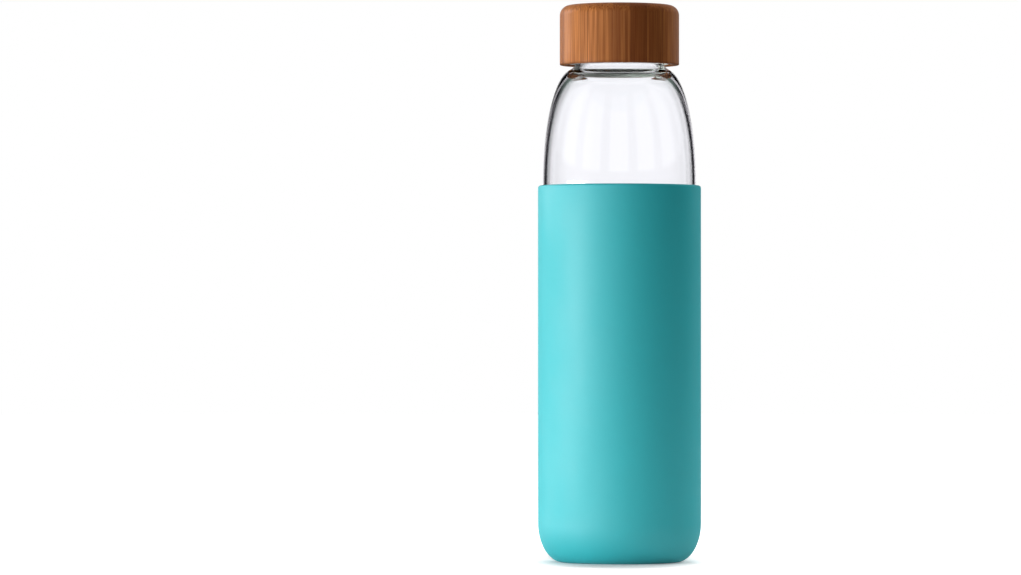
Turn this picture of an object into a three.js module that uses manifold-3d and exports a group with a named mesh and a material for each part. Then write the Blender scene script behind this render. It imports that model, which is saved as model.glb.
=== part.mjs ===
// Glass water bottle with a stretch-fit silicone sleeve and a screw-on bamboo cap.
//
// Five pieces, as they come apart on a bench:
//   glass_bottle     blown borosilicate bottle with a continuous-thread neck
//   silicone_sleeve  moulded boot that covers the lower two thirds of the glass
//   cap_gasket       silicone sealing ring that the bottle's lip presses on
//   cap_insert       threaded plastic liner, glued into the bamboo
//   bamboo_cap       turned bamboo shell
//
// Millimetres, +Z up. The origin is on the bottle's axis, on the surface it stands on.
import * as THREE from "three";
import { mergeVertices } from "three/addons/utils/BufferGeometryUtils.js";
import Module from "manifold-3d";

// ---- Driving dimensions ----------------------------------------------------------------------

const FIT_GAP = 0.3; // between pieces that touch on the real object
const FACETS = 40; // flats around every turned piece

const SLEEVE_RADIUS = 35.5; // outside
const SLEEVE_HEIGHT = 164;
const SLEEVE_WALL = 1.8;
const SLEEVE_FLOOR = 2.5;
const SLEEVE_CORNER = { across: 10.8, up: 17 }; // elliptical corner at the base
const SLEEVE_LIP_ROUND = 1.1;
const FOOT_RECESS = { radius: 17, depth: 0.8 }; // the sleeve stands on the ring outside this
const AIR_HOLE_RADIUS = 5; // lets air out as the sleeve is pulled on

const GLASS_WALL = 1.5;
const GLASS_FLOOR = 4.2;
const GLASS_CORNER = { across: 10.9, up: 14.2 };
const PUSH_UP = 2; // height of the hollow under the glass base
const SHOULDER_RISE = 49.8; // from the sleeve's top edge to the foot of the neck
const SHOULDER_LEDGE = 3.4; // how far the shoulder's top stands out from the neck
const SHOULDER_SLOPE = THREE.MathUtils.degToRad(36); // below the horizontal, at its top
const SHOULDER_PULL = { top: 7.9, side: 25 }; // Bezier handle lengths
const SHOULDER_WALL = 3; // at its top, from where it thins to the body's wall

const NECK_RADIUS = 19.3; // at the root of the thread
const NECK_WALL = 2.6;
const NECK_HEIGHT = 21.2; // from the shoulder's top to the lip
const NECK_FILLET = { up: 3.1, pull: 1.5, out: 1.8 };
const BORE_FILLET = { up: 1.4, pull: 1.5, out: 1.2 }; // the same corner inside the bottle

const PITCH = 25.4 / 6; // six threads to the inch
const NECK_THREAD = { turns: 1.5, height: 1.6, root: 2.4, crest: 1.0 };
const CAP_THREAD = { turns: 1.25, height: 1.1, root: 1.9, crest: 0.8 };
const THREAD_FADE = THREE.MathUtils.degToRad(30); // run-in and run-out of each thread
const THREAD_DROP = 6.05; // from the lip to the top of the neck thread's centre line
const THREAD_SINK = 0.3; // how far a thread is rooted in its wall

const CAP_STANDOFF = 2.7; // from the shoulder's top to the cap's lower edge
const GASKET_THICKNESS = 1.6;
const GASKET_LIP = { wall: 0.9, drop: 1.4, clearance: 0.5 };
const INSERT_WALL = 0.9;
const INSERT_TOP = 1.4;
const INSERT_RECESS = 0.5; // from the bamboo's lower edge up to the insert's
const INSERT_RIBS = { count: 16, height: 0.4, width: 1.2 };
const GASKET_SEAT = { wall: 1.1, drop: 1.5 }; // ring under the insert's top that centres the gasket
const BAMBOO_WALL = 3.2;
const BAMBOO_TOP = 3.7;
const BAMBOO_TOP_ROUND = 4.5;
const BAMBOO_FOOT_ROUND = 0.4;

// ---- Sizes that follow from them -------------------------------------------------------------

const glassRadius = SLEEVE_RADIUS - SLEEVE_WALL - FIT_GAP;
const glassBase = SLEEVE_FLOOR + FIT_GAP;
const shoulderTop = SLEEVE_HEIGHT + SHOULDER_RISE;
const shoulderTopRadius = NECK_RADIUS + SHOULDER_LEDGE;
const lipTop = shoulderTop + NECK_HEIGHT;
const neckBore = NECK_RADIUS - NECK_WALL;

const threadClearRadius = NECK_RADIUS + NECK_THREAD.height + FIT_GAP; // the insert's bore
const insertRadius = threadClearRadius + INSERT_WALL;
const bambooBore = insertRadius + INSERT_RIBS.height + FIT_GAP;
const capRadius = bambooBore + BAMBOO_WALL;
const capBottom = shoulderTop + CAP_STANDOFF;
const gasketBottom = lipTop + FIT_GAP;
const insertCeiling = gasketBottom + GASKET_THICKNESS + FIT_GAP;
const bambooCeiling = insertCeiling + INSERT_TOP + FIT_GAP;
const capTop = bambooCeiling + BAMBOO_TOP;

// ---- Profiles: points of (radius, height), in order ------------------------------------------

function arc(radius, height, across, up, fromDegrees, toDegrees, steps) {
  const from = THREE.MathUtils.degToRad(fromDegrees);
  const to = THREE.MathUtils.degToRad(toDegrees);
  const curve = new THREE.EllipseCurve(radius, height, across, up, from, to, to < from);
  return curve.getPoints(steps);
}

// A quarter round on the corner where two flats would meet. It starts at the given angle.
function rounded(radius, height, round, fromDegrees, steps) {
  const towards = THREE.MathUtils.degToRad(fromDegrees + 45);
  const centreRadius = radius - Math.sign(Math.cos(towards)) * round;
  const centreHeight = height - Math.sign(Math.sin(towards)) * round;
  return arc(centreRadius, centreHeight, round, round, fromDegrees, fromDegrees + 90, steps);
}

function bezier(start, startPull, endPull, end, steps) {
  return new THREE.CubicBezierCurve(start, startPull, endPull, end).getPoints(steps);
}

function point(radius, height) {
  return new THREE.Vector2(radius, height);
}

// The point a given distance from another, along a direction below the horizontal.
function outAndDown(from, distance, slope) {
  return point(from.x + distance * Math.cos(slope), from.y - distance * Math.sin(slope));
}

// Drops each point that repeats the one before it.
function outline(...parts) {
  const points = parts.flat();
  return points.filter((p, i) => i === 0 || p.distanceTo(points[i - 1]) > 1e-6);
}

// ---- Solids ----------------------------------------------------------------------------------

const wasm = await Module();
wasm.setup();

// Turns a profile about Z. A profile ends on the axis or closes on itself.
function turned(profile) {
  return new THREE.LatheGeometry(profile, FACETS).rotateX(Math.PI / 2);
}

function solidOf(geometry) {
  const bare = new THREE.BufferGeometry();
  bare.setAttribute("position", geometry.getAttribute("position"));
  if (geometry.index) bare.setIndex(geometry.index);
  const merged = mergeVertices(bare, 1e-3);
  const vertProperties = merged.attributes.position.array;
  const triVerts = new Uint32Array(merged.index.array);
  return new wasm.Manifold(new wasm.Mesh({ numProp: 3, vertProperties, triVerts }));
}

function geometryOf(solid) {
  const mesh = solid.getMesh();
  const geometry = new THREE.BufferGeometry();
  geometry.setAttribute("position", new THREE.BufferAttribute(mesh.vertProperties, 3));
  geometry.setIndex(new THREE.BufferAttribute(mesh.triVerts, 1));
  geometry.computeVertexNormals();
  return geometry;
}

// A helical ridge, right-handed, that starts on the +X side at a height. Its root is at rootRadius
// and its crest at crestRadius, which is the larger on an outside thread.
function ridge({ turns, root, crest }, rootRadius, crestRadius, startHeight) {
  const section = new THREE.Shape([
    point(-root / 2, rootRadius),
    point(root / 2, rootRadius),
    point(crest / 2, crestRadius),
    point(-crest / 2, crestRadius),
  ]);
  const steps = Math.ceil(turns * FACETS);
  const geometry = new THREE.ExtrudeGeometry(section, { depth: 1, steps, bevelEnabled: false });
  const position = geometry.attributes.position;
  const sweep = turns * 2 * Math.PI;
  for (let i = 0; i < position.count; i++) {
    const angle = position.getZ(i) * sweep;
    const faded = Math.min(1, angle / THREAD_FADE, (sweep - angle) / THREAD_FADE);
    const radius = rootRadius + (position.getY(i) - rootRadius) * Math.max(0.1, faded);
    const height = startHeight + position.getX(i) + (PITCH * angle) / (2 * Math.PI);
    position.setXYZ(i, radius * Math.cos(angle), radius * Math.sin(angle), height);
  }
  return geometry;
}

// Half the width of a thread at a radius.
function halfWidthAt(radius, thread, rootRadius, crestRadius) {
  const share = (radius - rootRadius) / (crestRadius - rootRadius);
  return THREE.MathUtils.lerp(thread.root, thread.crest, share) / 2;
}

const neckThreadCrest = NECK_RADIUS + NECK_THREAD.height;
const capThreadCrest = threadClearRadius - CAP_THREAD.height;
const neckThreadStart = lipTop - THREAD_DROP - NECK_THREAD.turns * PITCH;

// How far the cap's thread hangs below the neck's, measured between centre lines.
function threadDrop() {
  const widths = [capThreadCrest, neckThreadCrest].map(
    (radius) =>
      halfWidthAt(radius, NECK_THREAD, NECK_RADIUS, neckThreadCrest) +
      halfWidthAt(radius, CAP_THREAD, threadClearRadius, capThreadCrest),
  );
  return Math.max(...widths) + FIT_GAP;
}

// ---- The five pieces -------------------------------------------------------------------------

function glassOutside() {
  const cornerCentre = glassRadius - GLASS_CORNER.across;
  const shoulderStart = point(shoulderTopRadius, shoulderTop);
  const neckFoot = point(NECK_RADIUS, shoulderTop + NECK_FILLET.up);
  const lipRound = NECK_WALL / 2;
  return outline(
    bezier(
      point(0, glassBase + PUSH_UP),
      point(cornerCentre * 0.4, glassBase + PUSH_UP),
      point(cornerCentre * 0.6, glassBase),
      point(cornerCentre * 0.9, glassBase),
      4,
    ),
    arc(cornerCentre, glassBase + GLASS_CORNER.up, GLASS_CORNER.across, GLASS_CORNER.up, -90, 0, 6),
    bezier(
      point(glassRadius, SLEEVE_HEIGHT),
      point(glassRadius, SLEEVE_HEIGHT + SHOULDER_PULL.side),
      outAndDown(shoulderStart, SHOULDER_PULL.top, SHOULDER_SLOPE),
      shoulderStart,
      11,
    ),
    bezier(
      shoulderStart,
      outAndDown(shoulderStart, -NECK_FILLET.out, SHOULDER_SLOPE),
      point(neckFoot.x, neckFoot.y - NECK_FILLET.pull),
      neckFoot,
      5,
    ),
    rounded(NECK_RADIUS, lipTop, lipRound, 0, 3),
  );
}

function glassInside() {
  const boreRadius = glassRadius - GLASS_WALL;
  const lipRound = NECK_WALL / 2;
  const shoulderInner = outAndDown(
    point(shoulderTopRadius, shoulderTop),
    SHOULDER_WALL,
    SHOULDER_SLOPE + Math.PI / 2,
  );
  const neckInner = point(neckBore, shoulderTop + BORE_FILLET.up);
  const corner = { across: GLASS_CORNER.across - 0.2, up: GLASS_CORNER.up - 1.2 };
  const floor = glassBase + GLASS_FLOOR;
  return outline(
    rounded(neckBore, lipTop, lipRound, 90, 3),
    bezier(
      neckInner,
      point(neckInner.x, neckInner.y - BORE_FILLET.pull),
      outAndDown(shoulderInner, -BORE_FILLET.out, SHOULDER_SLOPE),
      shoulderInner,
      4,
    ),
    bezier(
      shoulderInner,
      outAndDown(shoulderInner, SHOULDER_PULL.top, SHOULDER_SLOPE),
      point(boreRadius, SLEEVE_HEIGHT + SHOULDER_PULL.side),
      point(boreRadius, SLEEVE_HEIGHT),
      10,
    ),
    arc(boreRadius - corner.across, floor + corner.up, corner.across, corner.up, 0, -90, 6),
    bezier(
      point((boreRadius - corner.across) * 0.9, floor),
      point((boreRadius - corner.across) * 0.5, floor),
      point((boreRadius - corner.across) * 0.3, floor + PUSH_UP / 2),
      point(0, floor + PUSH_UP / 2),
      3,
    ),
  );
}

function glassBottle() {
  const body = solidOf(turned(outline(glassOutside(), glassInside())));
  const thread = ridge(NECK_THREAD, NECK_RADIUS - THREAD_SINK, neckThreadCrest, neckThreadStart);
  return geometryOf(body.add(solidOf(thread)));
}

function siliconeSleeve() {
  const inside = SLEEVE_RADIUS - SLEEVE_WALL;
  const outerCorner = SLEEVE_RADIUS - SLEEVE_CORNER.across;
  const innerCorner = inside - GLASS_CORNER.across - FIT_GAP;
  const innerRise = glassBase + GLASS_CORNER.up;
  const lip = SLEEVE_LIP_ROUND;
  return turned(
    outline(
      point(AIR_HOLE_RADIUS, FOOT_RECESS.depth),
      point(FOOT_RECESS.radius - FOOT_RECESS.depth, FOOT_RECESS.depth),
      point(FOOT_RECESS.radius, 0),
      arc(outerCorner, SLEEVE_CORNER.up, SLEEVE_CORNER.across, SLEEVE_CORNER.up, -90, 0, 7),
      rounded(SLEEVE_RADIUS, SLEEVE_HEIGHT, lip, 0, 3),
      rounded(inside, SLEEVE_HEIGHT, lip / 2, 90, 2),
      arc(innerCorner, innerRise, inside - innerCorner, innerRise - SLEEVE_FLOOR, 0, -90, 6),
      point(AIR_HOLE_RADIUS + FIT_GAP, SLEEVE_FLOOR),
      point(AIR_HOLE_RADIUS, SLEEVE_FLOOR - FIT_GAP),
      point(AIR_HOLE_RADIUS, FOOT_RECESS.depth),
    ),
  );
}

function capGasket() {
  const outside = threadClearRadius - 2 * FIT_GAP;
  const lipOutside = neckBore - GASKET_LIP.clearance;
  const lipInside = lipOutside - GASKET_LIP.wall;
  const top = gasketBottom + GASKET_THICKNESS;
  const tip = gasketBottom - GASKET_LIP.drop;
  const tipRound = GASKET_LIP.wall / 2;
  const edge = GASKET_THICKNESS / 4;
  return turned(
    outline(
      arc(lipInside + tipRound, tip + tipRound, tipRound, tipRound, -180, 0, 4),
      point(lipOutside, gasketBottom),
      rounded(outside, gasketBottom, edge, -90, 2),
      rounded(outside, top, edge, 0, 2),
      rounded(lipInside, top, edge, 90, 2),
      point(lipInside, tip + tipRound),
    ),
  );
}

function insertRib(index) {
  const inner = insertRadius - INSERT_WALL / 2;
  const outer = insertRadius + INSERT_RIBS.height;
  const bottom = capBottom + INSERT_RECESS + INSERT_RIBS.width;
  const top = insertCeiling;
  return new THREE.BoxGeometry(outer - inner, INSERT_RIBS.width, top - bottom)
    .translate((outer + inner) / 2, 0, (top + bottom) / 2)
    .rotateZ((2 * Math.PI * (index + 0.5)) / INSERT_RIBS.count);
}

function capInsert() {
  const bottom = capBottom + INSERT_RECESS;
  const seatOutside = neckBore - GASKET_LIP.clearance - GASKET_LIP.wall - FIT_GAP;
  const seatInside = seatOutside - GASKET_SEAT.wall;
  const seatBottom = insertCeiling - GASKET_SEAT.drop;
  const chamfer = INSERT_WALL / 2;
  let solid = solidOf(
    turned(
      outline(
        point(0, insertCeiling),
        point(seatInside, insertCeiling),
        point(seatInside, seatBottom),
        point(seatOutside, seatBottom),
        point(seatOutside, insertCeiling),
        point(threadClearRadius, insertCeiling),
        point(threadClearRadius, bottom + chamfer),
        point(threadClearRadius + chamfer, bottom),
        point(insertRadius, bottom),
        rounded(insertRadius, insertCeiling + INSERT_TOP, INSERT_WALL, 0, 3),
        point(0, insertCeiling + INSERT_TOP),
      ),
    ),
  );
  const thread = ridge(
    CAP_THREAD,
    threadClearRadius + THREAD_SINK,
    capThreadCrest,
    neckThreadStart - threadDrop(),
  );
  solid = solid.add(solidOf(thread));
  for (let i = 0; i < INSERT_RIBS.count; i++) solid = solid.add(solidOf(insertRib(i)));
  return geometryOf(solid);
}

function bambooCap() {
  const foot = BAMBOO_FOOT_ROUND;
  return turned(
    outline(
      point(0, bambooCeiling),
      point(bambooBore, bambooCeiling),
      point(bambooBore, capBottom + foot),
      point(bambooBore + foot, capBottom),
      rounded(capRadius, capBottom, foot, -90, 2),
      rounded(capRadius, capTop, BAMBOO_TOP_ROUND, 0, 6),
      point(0, capTop),
    ),
  );
}

// ---- Materials and assembly ------------------------------------------------------------------

function material(color, roughness, metalness = 0, extra = {}) {
  return new THREE.MeshStandardMaterial({ color, roughness, metalness, ...extra });
}

const clearGlass = material("#eef3f3", 0.02, 0, { transparent: true, opacity: 0.35 });
const tealSilicone = material("#4ebbc0", 0.55);
const whiteSilicone = material("#e9e9e4", 0.6);
const paleGreyPlastic = material("#d9dad6", 0.45);
const caramelBamboo = material("#a4622f", 0.45);

const bottle = new THREE.Group();

function add(name, geometry, finish) {
  const mesh = new THREE.Mesh(geometry, finish);
  mesh.name = name;
  bottle.add(mesh);
}

add("glass_bottle", glassBottle(), clearGlass);
add("silicone_sleeve", siliconeSleeve(), tealSilicone);
add("cap_gasket", capGasket(), whiteSilicone);
add("cap_insert", capInsert(), paleGreyPlastic);
add("bamboo_cap", bambooCap(), caramelBamboo);

export default bottle;
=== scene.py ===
"""Glass water bottle with a silicone sleeve and a bamboo screw cap, on a white studio sweep."""
import math

import bpy
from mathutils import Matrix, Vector


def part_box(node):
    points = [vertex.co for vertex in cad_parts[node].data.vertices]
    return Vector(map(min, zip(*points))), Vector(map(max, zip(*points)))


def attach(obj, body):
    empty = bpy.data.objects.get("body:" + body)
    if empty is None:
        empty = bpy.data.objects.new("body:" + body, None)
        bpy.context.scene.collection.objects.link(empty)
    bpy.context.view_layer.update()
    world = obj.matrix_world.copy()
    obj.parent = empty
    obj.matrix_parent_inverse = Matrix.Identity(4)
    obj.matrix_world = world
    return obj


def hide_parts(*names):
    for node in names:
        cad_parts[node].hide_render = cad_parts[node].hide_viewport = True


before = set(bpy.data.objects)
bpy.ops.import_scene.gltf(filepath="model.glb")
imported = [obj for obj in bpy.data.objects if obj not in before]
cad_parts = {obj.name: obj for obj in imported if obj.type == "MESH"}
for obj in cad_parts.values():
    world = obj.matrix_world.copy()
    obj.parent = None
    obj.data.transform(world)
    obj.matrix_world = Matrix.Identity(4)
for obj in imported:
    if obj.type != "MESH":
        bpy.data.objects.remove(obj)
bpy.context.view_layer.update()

MM = 0.001

# ---- Sizes that the frame gives ---------------------------------------------------------------

sleeve_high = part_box("silicone_sleeve")[1]
glass_low, glass_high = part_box("glass_bottle")
bamboo_low, bamboo_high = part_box("bamboo_cap")
liner_low, liner_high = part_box("cap_insert")
seal_low, seal_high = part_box("cap_gasket")

sleeve_radius, sleeve_top = sleeve_high.x, sleeve_high.z
glass_radius, glass_base, lip_top = glass_high.x, glass_low.z, glass_high.z
bamboo_radius, bamboo_bottom, bamboo_top = bamboo_high.x, bamboo_low.z, bamboo_high.z
liner_bottom, liner_top = liner_low.z, liner_high.z
seal_radius, seal_tip, seal_top = seal_high.x, seal_low.z, seal_high.z

# ---- Sizes that the boxes can't show ----------------------------------------------------------

FIT_GAP = 0.3 * MM

SLEEVE_WALL = 1.8 * MM
SLEEVE_FLOOR = 2.5 * MM
SLEEVE_CORNER = (10.8 * MM, 17 * MM)
SLEEVE_LIP_ROUND = 1.1 * MM
FOOT_RECESS_RADIUS = 17 * MM
FOOT_RECESS_DEPTH = 0.8 * MM
AIR_HOLE_RADIUS = 5 * MM

GLASS_WALL = 1.5 * MM
GLASS_FLOOR = 4.2 * MM
GLASS_CORNER = (10.9 * MM, 14.2 * MM)
PUSH_UP = 2 * MM
SHOULDER_WALL = 3 * MM
SHOULDER_SLOPE = math.radians(36)
SHOULDER_PULL = (7.9 * MM, 25 * MM)
SHOULDER_LEDGE = 3.4 * MM

NECK_RADIUS = 19.3 * MM
NECK_WALL = 2.6 * MM
NECK_HEIGHT = 21.2 * MM
NECK_FILLET_UP = 3.1 * MM
NECK_FILLET_PULL = 1.5 * MM
NECK_FILLET_OUT = 1.8 * MM
BORE_FILLET_UP = 1.4 * MM
BORE_FILLET_PULL = 1.5 * MM
BORE_FILLET_OUT = 1.2 * MM

PITCH = 25.4 / 6 * MM
NECK_THREAD = {"turns": 1.5, "height": 1.6 * MM, "width": 2.4 * MM}
LINER_THREAD = {"turns": 1.25, "height": 1.1 * MM, "width": 1.9 * MM}
THREAD_DROP = 6.05 * MM
THREAD_FADE = math.radians(30)
THREAD_GAP = 1.6 * MM
CREST_STEEPNESS = 1.6

LINER_WALL = 0.9 * MM
LINER_TOP = 1.4 * MM
RIB_COUNT = 16
RIB_HEIGHT = 0.4 * MM
RIB_WIDTH = 1.2 * MM
RIB_FLANK = 0.3 * MM
SEAT_WALL = 1.1 * MM
SEAT_DROP = 1.5 * MM
SEAL_LIP_WALL = 0.9 * MM
SEAL_LIP_CLEARANCE = 0.5 * MM
SEAL_THICKNESS = 1.6 * MM

BAMBOO_WALL = 3.2 * MM
BAMBOO_TOP_THICKNESS = 3.7 * MM
BAMBOO_TOP_ROUND = 4.5 * MM
BAMBOO_FOOT_ROUND = 0.4 * MM

ROUND_STEPS = 256  # around the axis
THREAD_STEP = 0.2 * MM  # up the wall where a thread or rib is raised
WALL_STEP = 12 * MM  # up a long plain wall
CREASE = math.radians(38)  # edges sharper than this stay sharp
SAME_POINT = 1e-7
SAME_WALL = 1e-6

shoulder_top = lip_top - NECK_HEIGHT
neck_bore = NECK_RADIUS - NECK_WALL
liner_bore = NECK_RADIUS + NECK_THREAD["height"] + FIT_GAP
liner_radius = liner_bore + LINER_WALL
liner_ceiling = liner_top - LINER_TOP
bamboo_bore = bamboo_radius - BAMBOO_WALL
bamboo_ceiling = bamboo_top - BAMBOO_TOP_THICKNESS
neck_thread_start = lip_top - THREAD_DROP - NECK_THREAD["turns"] * PITCH


# ---- Profiles: (radius, height) points in order ------------------------------------------------

def arc(radius, height, across, up, start, end, steps):
    points = []
    for i in range(steps + 1):
        angle = math.radians(start + (end - start) * i / steps)
        points.append((radius + across * math.cos(angle), height + up * math.sin(angle)))
    return points


def rounded(radius, height, rounding, start, steps):
    """A quarter round on the corner where two flats would meet, from the start angle on."""
    towards = math.radians(start + 45)
    centre_radius = radius - math.copysign(rounding, math.cos(towards))
    centre_height = height - math.copysign(rounding, math.sin(towards))
    return arc(centre_radius, centre_height, rounding, rounding, start, start + 90, steps)


def bezier(start, pull, push, end, steps):
    points = []
    for i in range(steps + 1):
        t = i / steps
        s = 1 - t
        weights = (s ** 3, 3 * s * s * t, 3 * s * t * t, t ** 3)
        corners = (start, pull, push, end)
        points.append(tuple(sum(w * c[k] for w, c in zip(weights, corners)) for k in (0, 1)))
    return points


def straight(start, end, step):
    """A straight wall cut into steps, so that a thread or rib can be raised on it."""
    count = max(1, round(math.dist(start, end) / step))
    return [
        tuple(a + (b - a) * i / count for a, b in zip(start, end)) for i in range(count + 1)
    ]


def along(point, distance, slope):
    """The point a distance outwards and down a slope."""
    return (point[0] + distance * math.cos(slope), point[1] - distance * math.sin(slope))


def outline(*parts):
    """Joins stretches of a profile and drops each point that repeats the one before it."""
    points = []
    for point in (p for part in parts for p in part):
        if not points or math.dist(point, points[-1]) > SAME_POINT:
            points.append(point)
    return points


# ---- Reliefs: how far a wall stands out at an angle and height ---------------------------------

def ease(share):
    share = min(1, max(0, share))
    return share * share * (3 - 2 * share)


def thread_relief(thread, start_height, angle, height):
    """The height of a round-crested helical thread over its wall, right-handed."""
    sweep = thread["turns"] * 2 * math.pi
    raised = 0
    for lap in range(math.ceil(thread["turns"]) + 1):
        turned_by = angle + lap * 2 * math.pi
        if turned_by > sweep:
            break
        centre = start_height + PITCH * turned_by / (2 * math.pi)
        fade = ease(min(turned_by, sweep - turned_by) / THREAD_FADE)
        away = abs(height - centre) / (thread["width"] / 2)
        raised = max(raised, fade * ease((1 - away) * CREST_STEEPNESS))
    return raised * thread["height"]


def neck_relief(angle, radius, height):
    if abs(radius - NECK_RADIUS) > SAME_WALL:
        return 0
    return thread_relief(NECK_THREAD, neck_thread_start, angle, height)


def liner_relief(angle, radius, height):
    if abs(radius - liner_bore) < SAME_WALL:
        return -thread_relief(LINER_THREAD, neck_thread_start - THREAD_GAP, angle, height)
    if abs(radius - liner_radius) > SAME_WALL:
        return 0
    spacing = 2 * math.pi / RIB_COUNT
    from_rib = abs((angle % spacing) - spacing / 2) * liner_radius
    up = ease((height - liner_bottom - RIB_WIDTH) / RIB_HEIGHT)
    return RIB_HEIGHT * up * ease((RIB_WIDTH / 2 - from_rib) / RIB_FLANK + 0.5)


# ---- Meshes ------------------------------------------------------------------------------------

def turned(name, profile, relief=None, steps=ROUND_STEPS):
    """Turns a profile about Z. It ends on the axis or closes on itself."""
    closed = math.dist(profile[0], profile[-1]) < SAME_POINT
    rings, vertices, faces = [], [], []
    for radius, height in profile[:-1] if closed else profile:
        if radius < SAME_POINT:
            rings.append([len(vertices)] * steps)
            vertices.append((0, 0, height))
            continue
        rings.append(list(range(len(vertices), len(vertices) + steps)))
        for i in range(steps):
            angle = 2 * math.pi * i / steps
            out = radius + (relief(angle, radius, height) if relief else 0)
            vertices.append((out * math.cos(angle), out * math.sin(angle), height))
    if closed:
        rings.append(rings[0])
    for low, high in zip(rings, rings[1:]):
        for i in range(steps):
            j = (i + 1) % steps
            corners = dict.fromkeys((low[i], low[j], high[j], high[i]))
            faces.append(tuple(corners))
    mesh = bpy.data.meshes.new(name)
    mesh.from_pydata(vertices, [], faces)
    mesh.shade_smooth()
    mesh.set_sharp_from_angle(angle=CREASE)
    piece = bpy.data.objects.new(name, mesh)
    bpy.context.collection.objects.link(piece)
    return piece


def glass_outside():
    corner_centre = glass_radius - GLASS_CORNER[0]
    shoulder_start = (NECK_RADIUS + SHOULDER_LEDGE, shoulder_top)
    neck_foot = (NECK_RADIUS, shoulder_top + NECK_FILLET_UP)
    lip_round = NECK_WALL / 2
    hollow_top = glass_base + PUSH_UP
    return outline(
        bezier(
            (0, hollow_top),
            (corner_centre * 0.4, hollow_top),
            (corner_centre * 0.6, glass_base),
            (corner_centre * 0.9, glass_base),
            16,
        ),
        arc(corner_centre, glass_base + GLASS_CORNER[1], *GLASS_CORNER, -90, 0, 24),
        straight(
            (glass_radius, glass_base + GLASS_CORNER[1]), (glass_radius, sleeve_top), WALL_STEP
        ),
        bezier(
            (glass_radius, sleeve_top),
            (glass_radius, sleeve_top + SHOULDER_PULL[1]),
            along(shoulder_start, SHOULDER_PULL[0], SHOULDER_SLOPE),
            shoulder_start,
            56,
        ),
        bezier(
            shoulder_start,
            along(shoulder_start, -NECK_FILLET_OUT, SHOULDER_SLOPE),
            (NECK_RADIUS, neck_foot[1] - NECK_FILLET_PULL),
            neck_foot,
            24,
        ),
        straight(neck_foot, (NECK_RADIUS, lip_top - lip_round), THREAD_STEP),
        rounded(NECK_RADIUS, lip_top, lip_round, 0, 10),
    )


def glass_inside():
    bore = glass_radius - GLASS_WALL
    lip_round = NECK_WALL / 2
    shoulder_start = (NECK_RADIUS + SHOULDER_LEDGE, shoulder_top)
    shoulder_inner = along(shoulder_start, SHOULDER_WALL, SHOULDER_SLOPE + math.pi / 2)
    neck_inner = (neck_bore, shoulder_top + BORE_FILLET_UP)
    across, up = GLASS_CORNER[0] - 0.2 * MM, GLASS_CORNER[1] - 1.2 * MM
    floor = glass_base + GLASS_FLOOR
    flat = bore - across
    return outline(
        rounded(neck_bore, lip_top, lip_round, 90, 10),
        bezier(
            neck_inner,
            (neck_bore, neck_inner[1] - BORE_FILLET_PULL),
            along(shoulder_inner, -BORE_FILLET_OUT, SHOULDER_SLOPE),
            shoulder_inner,
            16,
        ),
        bezier(
            shoulder_inner,
            along(shoulder_inner, SHOULDER_PULL[0], SHOULDER_SLOPE),
            (bore, sleeve_top + SHOULDER_PULL[1]),
            (bore, sleeve_top),
            52,
        ),
        straight((bore, sleeve_top), (bore, floor + up), WALL_STEP),
        arc(flat, floor + up, across, up, 0, -90, 24),
        bezier(
            (flat * 0.9, floor),
            (flat * 0.5, floor),
            (flat * 0.3, floor + PUSH_UP / 2),
            (0, floor + PUSH_UP / 2),
            12,
        ),
    )


def sleeve_profile():
    inside = sleeve_radius - SLEEVE_WALL
    outer_corner = sleeve_radius - SLEEVE_CORNER[0]
    inner_corner = inside - GLASS_CORNER[0] - FIT_GAP
    inner_rise = glass_base + GLASS_CORNER[1]
    hole_round = 0.6 * MM
    recess_edge = FOOT_RECESS_RADIUS - 0.6 * MM
    recess_slope = 1 * MM
    lip = SLEEVE_LIP_ROUND
    return outline(
        rounded(AIR_HOLE_RADIUS, FOOT_RECESS_DEPTH, hole_round, 180, 4),
        straight(
            (AIR_HOLE_RADIUS + hole_round, FOOT_RECESS_DEPTH),
            (recess_edge - recess_slope, FOOT_RECESS_DEPTH),
            4 * MM,
        ),
        bezier(
            (recess_edge - recess_slope, FOOT_RECESS_DEPTH),
            (recess_edge, FOOT_RECESS_DEPTH),
            (recess_edge, 0),
            (recess_edge + recess_slope, 0),
            8,
        ),
        arc(outer_corner, SLEEVE_CORNER[1], *SLEEVE_CORNER, -90, 0, 28),
        straight((sleeve_radius, SLEEVE_CORNER[1]), (sleeve_radius, sleeve_top - lip), 8 * MM),
        rounded(sleeve_radius, sleeve_top, lip, 0, 8),
        rounded(inside, sleeve_top, lip / 2, 90, 5),
        straight((inside, sleeve_top - lip / 2), (inside, inner_rise), WALL_STEP),
        arc(inner_corner, inner_rise, inside - inner_corner, inner_rise - SLEEVE_FLOOR, 0, -90, 20),
        straight(
            (inner_corner, SLEEVE_FLOOR), (AIR_HOLE_RADIUS + hole_round, SLEEVE_FLOOR), 5 * MM
        ),
        rounded(AIR_HOLE_RADIUS, SLEEVE_FLOOR, hole_round, 90, 4),
        [(AIR_HOLE_RADIUS, FOOT_RECESS_DEPTH + hole_round)],
    )


def bamboo_profile():
    foot = BAMBOO_FOOT_ROUND
    bore_round = 0.8 * MM
    return outline(
        [(0, bamboo_ceiling)],
        rounded(bamboo_bore, bamboo_ceiling, bore_round, 0, 3)[::-1],
        straight(
            (bamboo_bore, bamboo_ceiling - bore_round), (bamboo_bore, bamboo_bottom + foot), 4 * MM
        ),
        rounded(bamboo_bore, bamboo_bottom, foot, 180, 4),
        rounded(bamboo_radius, bamboo_bottom, foot, -90, 5),
        straight(
            (bamboo_radius, bamboo_bottom + foot),
            (bamboo_radius, bamboo_top - BAMBOO_TOP_ROUND),
            3 * MM,
        ),
        rounded(bamboo_radius, bamboo_top, BAMBOO_TOP_ROUND, 0, 18),
        straight((bamboo_radius - BAMBOO_TOP_ROUND, bamboo_top), (0, bamboo_top), 3 * MM),
    )


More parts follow.
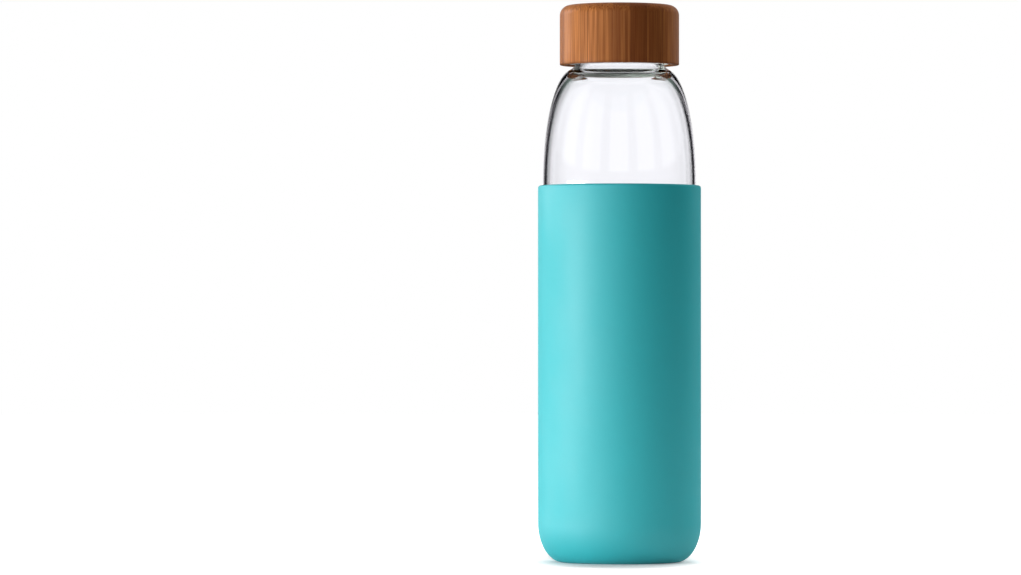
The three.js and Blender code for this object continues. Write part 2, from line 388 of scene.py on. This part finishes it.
def liner_profile():
    seat_outside = neck_bore - SEAL_LIP_CLEARANCE - SEAL_LIP_WALL - FIT_GAP
    seat_inside = seat_outside - SEAT_WALL
    seat_bottom = liner_ceiling - SEAT_DROP
    edge = 0.3 * MM
    ceiling_round = 0.6 * MM
    return outline(
        [(0, liner_ceiling), (seat_inside, liner_ceiling)],
        rounded(seat_inside, seat_bottom, edge, 180, 3),
        rounded(seat_outside, seat_bottom, edge, -90, 3),
        [(seat_outside, liner_ceiling)],
        rounded(liner_bore, liner_ceiling, ceiling_round, 0, 4)[::-1],
        straight(
            (liner_bore, liner_ceiling - ceiling_round),
            (liner_bore, liner_bottom + edge),
            THREAD_STEP,
        ),
        rounded(liner_bore, liner_bottom, edge, 180, 3),
        rounded(liner_radius, liner_bottom, edge, -90, 3),
        straight(
            (liner_radius, liner_bottom + edge), (liner_radius, liner_top - LINER_WALL), THREAD_STEP
        ),
        rounded(liner_radius, liner_top, LINER_WALL, 0, 6),
        [(0, liner_top)],
    )


def seal_profile():
    lip_outside = neck_bore - SEAL_LIP_CLEARANCE
    lip_inside = lip_outside - SEAL_LIP_WALL
    tip_round = SEAL_LIP_WALL / 2
    bottom = seal_top - SEAL_THICKNESS
    edge = SEAL_THICKNESS / 4
    return outline(
        arc(lip_inside + tip_round, seal_tip + tip_round, tip_round, tip_round, -180, 0, 12),
        [(lip_outside, bottom)],
        rounded(seal_radius, bottom, edge, -90, 5),
        rounded(seal_radius, seal_top, edge, 0, 5),
        rounded(lip_inside, seal_top, edge, 90, 5),
        [(lip_inside, seal_tip + tip_round)],
    )


# ---- Node helpers ------------------------------------------------------------------------------

def add(tree, kind, inputs=None, **settings):
    """Adds a node. An input that is a socket is linked, and any other is set."""
    made = tree.nodes.new(kind)
    for key, value in settings.items():
        setattr(made, key, value)
    for key, value in (inputs or {}).items():
        if isinstance(value, bpy.types.NodeSocket):
            tree.links.new(value, made.inputs[key])
        else:
            made.inputs[key].default_value = value
    return made


def maths(tree, operation, *values):
    node = add(tree, "ShaderNodeMath", dict(enumerate(values)), operation=operation)
    return node.outputs[0]


def vector_maths(tree, operation, *values):
    node = add(tree, "ShaderNodeVectorMath", dict(enumerate(values)), operation=operation)
    return node.outputs["Value" if operation in ("DOT_PRODUCT", "LENGTH") else "Vector"]


def spread(tree, value, low, high, new_low=0.0, new_high=1.0, smooth=True):
    """Maps low..high to new_low..new_high, eased and held at both ends."""
    inputs = {
        "Value": value,
        "From Min": low,
        "From Max": high,
        "To Min": new_low,
        "To Max": new_high,
    }
    kind = "SMOOTHSTEP" if smooth else "LINEAR"
    return add(tree, "ShaderNodeMapRange", inputs, interpolation_type=kind).outputs["Result"]


def mixed(tree, share, first, second, blend_type="MIX"):
    node = add(tree, "ShaderNodeMix", data_type="RGBA", blend_type=blend_type)
    for index, value in ((0, share), (6, first), (7, second)):
        if isinstance(value, bpy.types.NodeSocket):
            tree.links.new(value, node.inputs[index])
        else:
            node.inputs[index].default_value = value
    return node.outputs[2]


def colour(red, green, blue):
    return (red, green, blue, 1)


def grey(level):
    return colour(level, level, level)


def start_group(name, inputs, outputs):
    """A node group with named sockets. Gives the tree, its inputs and its output node."""
    tree = bpy.data.node_groups.new(name, "ShaderNodeTree")
    for label, kind, value in inputs:
        socket = tree.interface.new_socket(name=label, in_out="INPUT", socket_type=kind)
        if value is not None:
            socket.default_value = value
    for label, kind in outputs:
        tree.interface.new_socket(name=label, in_out="OUTPUT", socket_type=kind)
    entry = tree.nodes.new("NodeGroupInput").outputs
    return tree, entry, tree.nodes.new("NodeGroupOutput")


def place_group(tree, group, **inputs):
    node = add(tree, "ShaderNodeGroup", node_tree=group)
    for key, value in inputs.items():
        socket = node.inputs[key.replace("_", " ")]
        if isinstance(value, bpy.types.NodeSocket):
            tree.links.new(value, socket)
        else:
            socket.default_value = value
    return node.outputs


def start_material(name):
    """A new material, with its tree, its Principled shader and its output."""
    material = bpy.data.materials.new(name)
    material.use_nodes = True
    tree = material.node_tree
    return material, tree, tree.nodes["Principled BSDF"], tree.nodes["Material Output"]


def set_inputs(tree, shader, **inputs):
    for key, value in inputs.items():
        socket = shader.inputs[key.replace("_", " ")]
        if isinstance(value, bpy.types.NodeSocket):
            tree.links.new(value, socket)
        else:
            socket.default_value = value


def bumped(tree, height, strength, distance):
    inputs = {"Height": height, "Strength": strength, "Distance": distance}
    return add(tree, "ShaderNodeBump", inputs).outputs["Normal"]


# ---- Shared effects ----------------------------------------------------------------------------

def make_millimetres():
    """A piece's own coordinates in millimetres, so that every grain is at its real size."""
    tree, entry, exit_node = start_group("millimetres", [], [("Place", "NodeSocketVector")])
    own = add(tree, "ShaderNodeTexCoord").outputs["Object"]
    scaled = add(tree, "ShaderNodeVectorMath", {0: own, "Scale": 1 / MM}, operation="SCALE")
    tree.links.new(scaled.outputs[0], exit_node.inputs["Place"])
    return tree


def make_grain():
    """Soft random variation with a grain of a given size in millimetres, stretched up Z."""
    tree, entry, exit_node = start_group(
        "grain",
        [
            ("Place", "NodeSocketVector", None),
            ("Size", "NodeSocketFloat", 1.0),
            ("Stretch", "NodeSocketFloat", 1.0),
            ("Detail", "NodeSocketFloat", 2.0),
            ("Seed", "NodeSocketFloat", 0.0),
        ],
        [("Value", "NodeSocketFloat")],
    )
    drawn = maths(tree, "DIVIDE", 1.0, entry["Stretch"])
    scale = add(tree, "ShaderNodeCombineXYZ", {"X": 1.0, "Y": 1.0, "Z": drawn}).outputs[0]
    place = vector_maths(tree, "MULTIPLY", entry["Place"], scale)
    moved = vector_maths(tree, "ADD", place, entry["Seed"])
    fineness = maths(tree, "DIVIDE", 1.0, entry["Size"])
    inputs = {"Vector": moved, "Scale": fineness, "Detail": entry["Detail"]}
    noise = add(tree, "ShaderNodeTexNoise", inputs)
    tree.links.new(noise.outputs[0], exit_node.inputs["Value"])
    return tree


def make_band():
    """A soft mask around a height in millimetres, for a paler lip and a darker edge."""
    tree, entry, exit_node = start_group(
        "band",
        [
            ("Place", "NodeSocketVector", None),
            ("Height", "NodeSocketFloat", 0.0),
            ("Width", "NodeSocketFloat", 1.0),
        ],
        [("Mask", "NodeSocketFloat")],
    )
    height = add(tree, "ShaderNodeSeparateXYZ", {"Vector": entry["Place"]}).outputs["Z"]
    away = maths(tree, "ABSOLUTE", maths(tree, "SUBTRACT", height, entry["Height"]))
    share = maths(tree, "DIVIDE", away, entry["Width"])
    tree.links.new(spread(tree, share, 0.0, 1.0, 1.0, 0.0), exit_node.inputs["Mask"])
    return tree


# Dark cards beside the white backdrop, which draw the edges of clear glass: the compass
# direction of each card's middle, from +Y towards +X, half its width and how soft its edges
# are, in degrees, and how much of the white it hides.
CARDS = (
    (-29, 13, 2.0, 1.0),
    (-16, 6, 3.0, 0.45),
    (31.5, 12.5, 2.0, 1.0),
    (-67, 7, 3.0, 0.6),
    (67, 7, 3.0, 0.6),
    (-112, 7, 3.0, 0.8),
    (112, 7, 3.0, 0.8),
    (-157, 7, 3.0, 0.8),
    (157, 7, 3.0, 0.8),
)


def make_cards():
    """A mask of the dark cards, by compass direction."""
    tree, entry, exit_node = start_group(
        "cards", [("Direction", "NodeSocketVector", None)], [("Mask", "NodeSocketFloat")]
    )
    level = vector_maths(tree, "MULTIPLY", entry["Direction"], (1, 1, 0))
    compass = vector_maths(tree, "NORMALIZE", level)
    mask = 0.0
    for middle, half, soft, depth in CARDS:
        angle = math.radians(middle)
        facing = (math.sin(angle), math.cos(angle), 0)
        share = vector_maths(tree, "DOT_PRODUCT", compass, facing)
        outer = math.cos(math.radians(half + soft))
        inner = math.cos(math.radians(half - soft))
        mask = maths(tree, "MAXIMUM", mask, spread(tree, share, outer, inner, 0.0, depth))
    tree.links.new(mask, exit_node.inputs["Mask"])
    return tree


MILLIMETRES = make_millimetres()
GRAIN = make_grain()
BAND = make_band()
CARD_MASK = make_cards()


# ---- Materials ---------------------------------------------------------------------------------

CLEAR = colour(0.965, 1.0, 0.985)
CLEAR_SHADOW = colour(0.95, 0.97, 0.96)  # what is left of light that has crossed a wall


def clear_glass():
    material, tree, shader, output = start_material("clear_glass")
    place = place_group(tree, MILLIMETRES)["Place"]
    waves = place_group(tree, GRAIN, Place=place, Size=28.0, Stretch=2.5, Detail=0.0)["Value"]
    set_inputs(
        tree,
        shader,
        Base_Color=CLEAR,
        Roughness=0.0,
        IOR=1.47,
        Transmission_Weight=1.0,
        Normal=bumped(tree, waves, 0.25, 0.4 * MM),
    )
    shadow = add(tree, "ShaderNodeLightPath").outputs["Is Shadow Ray"]
    open_glass = add(tree, "ShaderNodeBsdfTransparent", {"Color": CLEAR_SHADOW})
    inputs = {0: shadow, 1: shader.outputs[0], 2: open_glass.outputs[0]}
    mix = add(tree, "ShaderNodeMixShader", inputs)
    tree.links.new(mix.outputs[0], output.inputs["Surface"])
    return material


TEAL = {
    "deep": colour(0.014, 0.47, 0.52),
    "pale": colour(0.018, 0.50, 0.55),
    "speck": colour(0.15, 0.6, 0.66),
    "paler_lip": colour(0.1, 0.58, 0.64),
}


def teal_silicone():
    material, tree, shader, output = start_material("teal_silicone")
    place = place_group(tree, MILLIMETRES)["Place"]
    clouds = place_group(tree, GRAIN, Place=place, Size=22.0, Stretch=1.5, Detail=2.0)["Value"]
    specks = place_group(tree, GRAIN, Place=place, Size=0.22, Detail=2.0, Seed=7.0)["Value"]
    lip = place_group(tree, BAND, Place=place, Height=sleeve_top / MM, Width=1.4)["Mask"]
    body = mixed(tree, clouds, TEAL["deep"], TEAL["pale"])
    speckled = mixed(tree, spread(tree, specks, 0.62, 0.8, 0.0, 0.2), body, TEAL["speck"])
    # The sleeve is paler in a band at its lip.
    paler_lip = mixed(tree, maths(tree, "MULTIPLY", lip, 0.2), speckled, TEAL["paler_lip"])
    set_inputs(
        tree,
        shader,
        Base_Color=paler_lip,
        Roughness=spread(tree, clouds, 0.3, 0.7, 0.57, 0.65),
        IOR=1.8,
        Normal=bumped(tree, specks, 0.12, 0.03 * MM),
    )
    return material


STRIP_WIDTH = 7.15  # bamboo strips as laid up in the block, in millimetres
STRIP_DEPTH = 21.0
STRIP_OFFSET = 4.2
SHADE_PLACE = 0.1  # the strip where the painted shade is deepest, counted in strips: just on the +X side, away from the key lamp
SHADE_REACH = (0.1, 2.8)  # how far from there the painted shade begins to fade, and is gone
GLUE_LINE = (0.04, 0.16)  # how far from a joint the glue shows full, and ends, in millimetres

BAMBOO = {
    "dark_strand": colour(0.34, 0.110, 0.030),
    "pale_strand": colour(0.66, 0.25, 0.07),
    "ribbon": colour(0.26, 0.075, 0.02),
    # The dark tone is both the strips' own random tone and painted shade on the side away from the
    # key lamp.
    "dark_tone_and_shade": colour(0.16, 0.040, 0.011),
    "vessel": colour(0.11, 0.028, 0.008),
    "glue": colour(0.12, 0.04, 0.015),
    "foot": colour(0.14, 0.05, 0.02),
}


def carbonised_bamboo():
    material, tree, shader, output = start_material("carbonised_bamboo")
    place = place_group(tree, MILLIMETRES)["Place"]
    split = add(tree, "ShaderNodeSeparateXYZ", {"Vector": place}).outputs

    # The block is glued up from strips: each has its own tone, with a thin dark glue line. Painted
    # shade also darkens the strips, deepest just on the +X side of the middle, away from the key
    # lamp.
    across = maths(tree, "DIVIDE", maths(tree, "SUBTRACT", split["X"], STRIP_OFFSET), STRIP_WIDTH)
    strip = maths(tree, "FLOOR", across)
    stagger = add(tree, "ShaderNodeTexWhiteNoise", {"W": strip}, noise_dimensions="1D").outputs[0]
    deep = maths(tree, "ADD", maths(tree, "DIVIDE", split["Y"], STRIP_DEPTH), stagger)
    row = maths(tree, "FLOOR", deep)
    block = add(tree, "ShaderNodeCombineXYZ", {"X": strip, "Y": row, "Z": 3.0}).outputs[0]
    tone_and_shade = add(tree, "ShaderNodeTexWhiteNoise", {"Vector": block}).outputs["Value"]
    # Painted shade: strips near SHADE_PLACE are darkened on top of their own random tone.
    from_dark = maths(tree, "ABSOLUTE", maths(tree, "SUBTRACT", strip, SHADE_PLACE))
    painted_shade = spread(tree, from_dark, *SHADE_REACH, 1.0, 0.0, smooth=False)
    chance = maths(tree, "MULTIPLY", tone_and_shade, 0.25)
    tone_and_shade = maths(tree, "ADD", chance, maths(tree, "MULTIPLY", painted_shade, 0.8))
    seams = []
    for position, width in ((across, STRIP_WIDTH), (deep, STRIP_DEPTH)):
        part = maths(tree, "FRACT", position)
        nearest = maths(tree, "MINIMUM", part, maths(tree, "SUBTRACT", 1.0, part))
        away = maths(tree, "MULTIPLY", nearest, width)
        seams.append(spread(tree, away, *GLUE_LINE, 1.0, 0.0))
    seam = maths(tree, "MAXIMUM", *seams)

    # Fibres run up the cap. The vessels are dots on the end grain and fine lines on the side.
    grain = {
        "strands": {"Size": 0.5, "Stretch": 70.0, "Detail": 3.0},
        "ribbons": {"Size": 2.2, "Stretch": 30.0, "Detail": 2.0, "Seed": 11.0},
        "pores": {"Size": 0.16, "Stretch": 5.0, "Detail": 1.0, "Seed": 5.0},
    }
    strands, ribbons, pores = (
        place_group(tree, GRAIN, Place=place, **look)["Value"] for look in grain.values()
    )
    drawn = vector_maths(tree, "MULTIPLY", place, (1, 1, 0.012))
    inputs = {"Vector": drawn, "Scale": 1.05, "Randomness": 0.85}
    cells = add(tree, "ShaderNodeTexVoronoi", inputs).outputs["Distance"]
    vessel = spread(tree, cells, 0.14, 0.34, 1.0, 0.0)
    normal = add(tree, "ShaderNodeTexCoord").outputs["Normal"]
    upward = add(tree, "ShaderNodeSeparateXYZ", {"Vector": normal}).outputs["Z"]
    end_grain = spread(tree, maths(tree, "ABSOLUTE", upward), 0.12, 0.75)

    foot = place_group(tree, BAND, Place=place, Height=bamboo_bottom / MM, Width=1.3)["Mask"]
    lighter = spread(tree, strands, 0.32, 0.68)
    wood = mixed(tree, lighter, BAMBOO["dark_strand"], BAMBOO["pale_strand"])
    layers = (
        (spread(tree, ribbons, 0.35, 0.7, 0.0, 0.45), "ribbon"),
        (spread(tree, tone_and_shade, 0.0, 1.0, 0.0, 0.8, smooth=False), "dark_tone_and_shade"),
        (maths(tree, "MULTIPLY", vessel, spread(tree, end_grain, 0.0, 1.0, 0.4, 0.95)), "vessel"),
        (maths(tree, "MULTIPLY", seam, 0.6), "glue"),
        (maths(tree, "MULTIPLY", foot, 0.45), "foot"),
    )
    for share, layer in layers:
        wood = mixed(tree, share, wood, BAMBOO[layer])

    height = maths(tree, "SUBTRACT", strands, maths(tree, "MULTIPLY", vessel, 0.5))
    height = maths(tree, "ADD", height, maths(tree, "MULTIPLY", pores, 0.8))
    height = maths(tree, "SUBTRACT", height, maths(tree, "MULTIPLY", seam, 0.5))
    set_inputs(
        tree,
        shader,
        Base_Color=wood,
        Roughness=spread(tree, pores, 0.3, 0.7, 0.32, 0.46),
        IOR=1.5,
        Specular_IOR_Level=0.1,
        Normal=bumped(tree, height, 0.5, 0.06 * MM),
    )
    return material


def moulded(name, light, dark, roughness, speck_size):
    """A moulded plastic or silicone: cloudy colour, fine surface, soft gloss."""
    material, tree, shader, output = start_material(name)
    place = place_group(tree, MILLIMETRES)["Place"]
    clouds = place_group(tree, GRAIN, Place=place, Size=6.0, Detail=2.0)["Value"]
    specks = place_group(tree, GRAIN, Place=place, Size=speck_size, Detail=1.0, Seed=3.0)["Value"]
    set_inputs(
        tree,
        shader,
        Base_Color=mixed(tree, clouds, dark, light),
        Roughness=spread(tree, specks, 0.3, 0.7, roughness - 0.05, roughness + 0.05),
        IOR=1.48,
        Normal=bumped(tree, specks, 0.2, 0.02 * MM),
    )
    return material


def liner_plastic():
    return moulded("liner_plastic", colour(0.74, 0.74, 0.71), colour(0.68, 0.68, 0.65), 0.4, 0.3)


def white_silicone():
    return moulded("white_silicone", colour(0.82, 0.82, 0.79), colour(0.76, 0.76, 0.73), 0.55, 0.2)


# ---- The bottle --------------------------------------------------------------------------------

def finish_piece(piece, material, body, node):
    piece.data.materials.append(material)
    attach(piece, body)
    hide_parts(node)


def make_bottle():
    glass = turned("glass", outline(glass_outside(), glass_inside()), neck_relief)
    finish_piece(glass, clear_glass(), "glass", "glass_bottle")

    sleeve = turned("sleeve", sleeve_profile())
    finish_piece(sleeve, teal_silicone(), "sleeve", "silicone_sleeve")

    seal = turned("seal", seal_profile())
    finish_piece(seal, white_silicone(), "seal", "cap_gasket")

    liner = turned("liner", liner_profile(), liner_relief)
    finish_piece(liner, liner_plastic(), "cap", "cap_insert")

    bamboo = turned("bamboo", bamboo_profile())
    finish_piece(bamboo, carbonised_bamboo(), "cap", "bamboo_cap")


# ---- Studio ------------------------------------------------------------------------------------

CAMERA_PLACE = Vector((-0.0475, -2.4, 0.095))
CAMERA_LENS = 194.2
CAMERA_TILT = math.radians(0.587)  # looking slightly up
SENSOR_WIDTH = 36.0


def make_camera():
    data = bpy.data.cameras.new("camera")
    data.lens = CAMERA_LENS
    data.sensor_width = SENSOR_WIDTH
    camera = bpy.data.objects.new("camera", data)
    camera.location = CAMERA_PLACE
    camera.rotation_euler = (math.radians(90) + CAMERA_TILT, 0, 0)
    bpy.context.collection.objects.link(camera)
    bpy.context.scene.camera = camera


def by_compass(degrees, distance, height):
    angle = math.radians(degrees)
    return Vector((distance * math.sin(angle), distance * math.cos(angle), height))


def make_light(name, place, size, brightness, gloss=True):
    """A soft rectangular lamp aimed at the middle of the bottle. Brightness is its radiance."""
    data = bpy.data.lights.new(name, "AREA")
    data.shape = "RECTANGLE"
    data.size, data.size_y = size
    data.energy = brightness * math.pi * size[0] * size[1]
    lamp = bpy.data.objects.new(name, data)
    lamp.location = place
    aim = Vector((0, 0, 0.12)) - place
    lamp.rotation_euler = aim.to_track_quat("-Z", "Y").to_euler()
    lamp.visible_camera = False
    lamp.visible_transmission = False
    lamp.visible_glossy = gloss
    bpy.context.collection.objects.link(lamp)


def make_lights():
    make_light("key", by_compass(-112, 0.8, 0.05), (0.5, 0.3), 13.2)
    make_light("front_fill", by_compass(-165, 1.6, 0.35), (1.2, 1.2), 2.0, gloss=False)
    make_light("right_fill", by_compass(50, 0.9, 0.25), (0.2, 0.8), 10.5, gloss=False)
    make_light("overhead", Vector((0.0, 0.1, 1.3)), (1.2, 1.2), 1.5, gloss=False)


# The lit backdrop behind the bottle and the dim room in front of it.
BACKDROP_LIGHT, ROOM_LIGHT = grey(0.14), grey(0.018)  # what they shed on the bottle
BACKDROP_GLOSS = grey(0.45)  # the backdrop in a rough gloss
BACKDROP, ROOM = grey(0.96), grey(0.12)  # as the outside of the glass mirrors them
SEEN_WHITE = colour(1.12, 1.045, 1.13)  # the backdrop through the glass
SEEN_DARK = colour(0.022, 0.022, 0.026)  # a dark card through the glass, or mirrored in it
CEILING = colour(0.19, 0.25, 0.225)

# Soft glows at the left of the room, which only a rough gloss shows: each one's compass
# direction and radiance. A glow's spread is how far from its middle it is full, and gone.
GLOWS = ((-66, 8.4), (-90, 3.0), (-112, 3.0), (-138, 4.0))
GLOW_RISE = 0.21
GLOW_SPREAD = (math.radians(10), math.radians(28))
KEY_GLOW_COMPASS, KEY_GLOW_RISE = -108, 0.15
KEY_GLOW_SPREAD = (math.radians(8), math.radians(34))


def glow_mask(tree, direction, compass, rise, full, gone):
    """A soft round mask about a compass direction, at a rise for each metre out."""
    toward = by_compass(compass, 1.0, rise).normalized()
    near = vector_maths(tree, "DOT_PRODUCT", direction, tuple(toward))
    return spread(tree, near, math.cos(gone), math.cos(full))


def make_world():
    world = bpy.data.worlds.new("studio")
    bpy.context.scene.world = world
    world.use_nodes = True
    tree = world.node_tree
    tree.nodes.clear()
    direction = add(tree, "ShaderNodeTexCoord").outputs["Generated"]
    path = add(tree, "ShaderNodeLightPath").outputs
    split = add(tree, "ShaderNodeSeparateXYZ", {"Vector": direction}).outputs
    cards = place_group(tree, CARD_MASK, Direction=direction)["Mask"]

    behind = spread(tree, split["Y"], 0.0, 0.6)
    gloss = mixed(tree, behind, ROOM_LIGHT, BACKDROP_GLOSS)
    for compass, radiance in GLOWS:
        near = glow_mask(tree, direction, compass, GLOW_RISE, *GLOW_SPREAD)
        gloss = mixed(tree, near, gloss, grey(radiance))
    room = mixed(tree, behind, ROOM_LIGHT, BACKDROP_LIGHT)
    room = mixed(tree, path["Is Glossy Ray"], room, gloss)

    # What the outside of the glass mirrors: the room and backdrop between the cards, with the
    # key lamp's soft glow.
    far_behind = spread(tree, split["Y"], 0.62, 0.92)
    mirrored = mixed(tree, cards, mixed(tree, far_behind, ROOM, BACKDROP), SEEN_DARK)
    glow = glow_mask(tree, direction, KEY_GLOW_COMPASS, KEY_GLOW_RISE, *KEY_GLOW_SPREAD)
    mirrored = mixed(tree, glow, mirrored, grey(1.0))

    # What is seen through the glass: the backdrop between the cards, under a dim ceiling.
    # Light that has bounced off a wall of the glass comes from a dim room, but for the
    # middle of the backdrop.
    bounced = maths(tree, "MINIMUM", path["Glossy Depth"], 1.0)
    dim = maths(tree, "MULTIPLY", bounced, spread(tree, split["Y"], 0.54, 0.68, 0.9, 0.0))
    seen = mixed(tree, maths(tree, "MAXIMUM", cards, dim), SEEN_WHITE, SEEN_DARK)
    seen = mixed(tree, spread(tree, split["Z"], 0.25, 0.6), seen, CEILING)

    outside = maths(tree, "SUBTRACT", 1.0, path["Is Transmission Ray"])
    mirror = maths(tree, "MULTIPLY", path["Is Singular Ray"], outside)
    shown = mixed(tree, mirror, room, mirrored)
    shown = mixed(tree, path["Is Transmission Ray"], shown, seen)
    shown = mixed(tree, path["Is Camera Ray"], shown, grey(1.0))
    background = add(tree, "ShaderNodeBackground", {"Color": shown, "Strength": 1.0})
    output = add(tree, "ShaderNodeOutputWorld")
    tree.links.new(background.outputs[0], output.inputs["Surface"])


FLOOR_RADIUS = 5.0
FLOOR_STEPS = 128
PAINTED_FOOT_SHADOW = (0.022, 0.046, 0.16)  # where the painted shadow starts to fade and ends, and the glow left in it
LIT_POOL = (0.03, 0.08, 0.05, 0.32)  # where the painted pool of light starts and is full, and its glow
LIT_PATCH = (0.22, 0.42)  # how far the pool of light on the floor reaches, and where it ends
PAPER, DIM_PAPER = grey(0.8), grey(0.1)


def glowing_paper(tree, paper, glow):
    """Paper that is lit by the lamps and glows by a given amount."""
    light = add(tree, "ShaderNodeEmission", {"Color": glow})
    return add(tree, "ShaderNodeAddShader", {0: paper, 1: light.outputs[0]}).outputs[0]


def floor_material():
    material, tree, shader, output = start_material("white_sweep")
    tree.nodes.remove(shader)
    place = add(tree, "ShaderNodeTexCoord").outputs["Object"]
    path = add(tree, "ShaderNodeLightPath").outputs
    distance = vector_maths(tree, "LENGTH", place)
    paper = add(tree, "ShaderNodeBsdfDiffuse", {"Color": PAPER}).outputs[0]

    # The camera sees the paper glowing to pure white, but for a painted shadow round the foot,
    # drawn out far behind it and less far in front.
    split = add(tree, "ShaderNodeSeparateXYZ", {"Vector": place}).outputs
    past = maths(tree, "MAXIMUM", *(maths(tree, "MULTIPLY", split["Y"], s) for s in (0.15, -0.45)))
    drawn_out = add(tree, "ShaderNodeCombineXYZ", {"X": split["X"], "Y": past}).outputs[0]
    clear = spread(tree, vector_maths(tree, "LENGTH", drawn_out), *PAINTED_FOOT_SHADOW, 1.0)
    looked_at = glowing_paper(tree, paper, clear)

    # The bottle is lit by a pool of light painted round it as a glow, and by a floor painted dim
    # beyond.
    pool = spread(tree, distance, *LIT_POOL)
    pool = maths(tree, "MULTIPLY", pool, spread(tree, distance, *LIT_PATCH, 1.0, 0.0))
    dim_paper = add(tree, "ShaderNodeBsdfDiffuse", {"Color": DIM_PAPER}).outputs[0]
    far = spread(tree, distance, *LIT_PATCH)
    lit = add(tree, "ShaderNodeMixShader", {0: far, 1: paper, 2: dim_paper}).outputs[0]
    lighting = glowing_paper(tree, lit, pool)

    # Through the glass it is as white as the backdrop, between the same cards.
    cards = place_group(tree, CARD_MASK, Direction=place)["Mask"]
    far_card = maths(tree, "MULTIPLY", cards, spread(tree, distance, 0.12, 0.3))
    through = mixed(tree, far_card, SEEN_WHITE, SEEN_DARK)
    seen = add(tree, "ShaderNodeEmission", {"Color": through}).outputs[0]

    chosen = lighting
    for flag, surface in (("Is Transmission Ray", seen), ("Is Camera Ray", looked_at)):
        inputs = {0: path[flag], 1: chosen, 2: surface}
        chosen = add(tree, "ShaderNodeMixShader", inputs).outputs[0]
    tree.links.new(chosen, output.inputs["Surface"])
    return material


def make_floor():
    floor = turned("floor", [(0, 0), (0.3, 0), (FLOOR_RADIUS, 0)], steps=FLOOR_STEPS)
    floor.data.materials.append(floor_material())


make_camera()
make_bottle()
make_floor()
make_lights()
make_world()
bpy.context.scene.view_settings.view_transform = "Standard"
